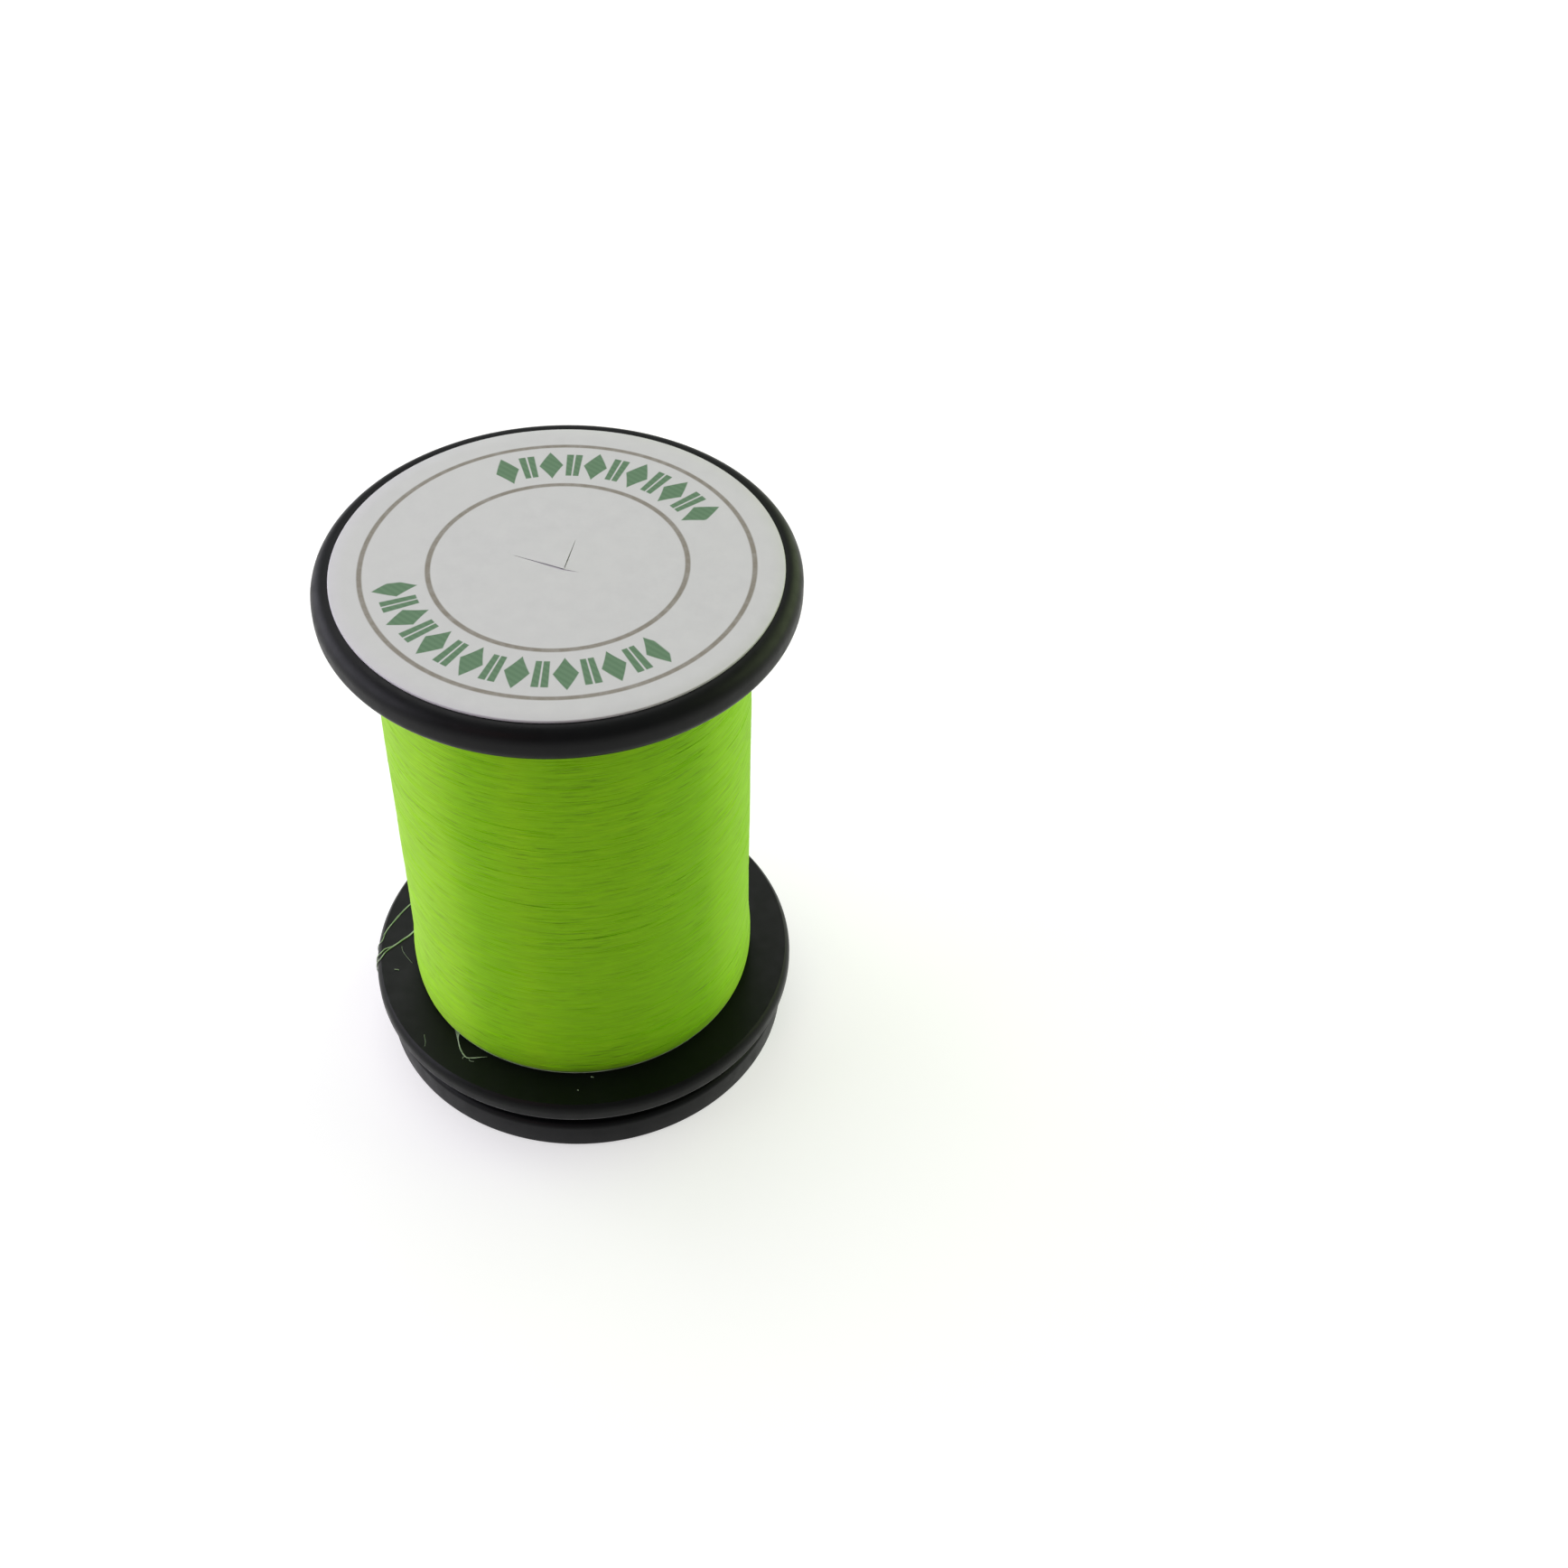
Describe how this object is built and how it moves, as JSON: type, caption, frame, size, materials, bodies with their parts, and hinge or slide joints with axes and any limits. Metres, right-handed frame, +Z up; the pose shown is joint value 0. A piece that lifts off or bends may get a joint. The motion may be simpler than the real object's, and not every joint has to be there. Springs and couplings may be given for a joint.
{
  "type": "thread spool",
  "caption": "Small flanged spool wound with bright floss thread, with a paper end label and a pull-out snap base that nips the thread end.",
  "frame": {"origin": "centre of the face of the snap base that the spool stands on", "axes": "+Z up along the spool's axis, from the snap base to the labelled end; the thread's free end leaves the winding near -X"},
  "size_m": [0.0225, 0.0222, 0.0302],
  "materials": {
    "body_plastic": "black moulded plastic, satin, with a fine matte texture",
    "flange_plastic": "black moulded plastic, satin",
    "base_plastic": "black moulded plastic, satin",
    "label_paper": "coated paper label, semi-matte, with thin printed rings",
    "thread_floss": "continuous-filament floss, fluorescent chartreuse, silky satin sheen along the turns"
  },
  "bodies": {
    "spool": {"spool_body": "body_plastic", "base_flange": "flange_plastic", "top_label": "label_paper", "thread_core": "thread_floss", "thread_outer_layer": "thread_floss", "thread_tail": "thread_floss", "thread_tail_strand": "thread_floss"},
    "snap_base": {"snap_base": "base_plastic"}
  },
  "joints": [
    {"name": "base_pull", "type": "slide", "parent": "spool", "child": "snap_base", "axis": [0, 0, -1], "range_m": [0, 0.002]}
  ]
}
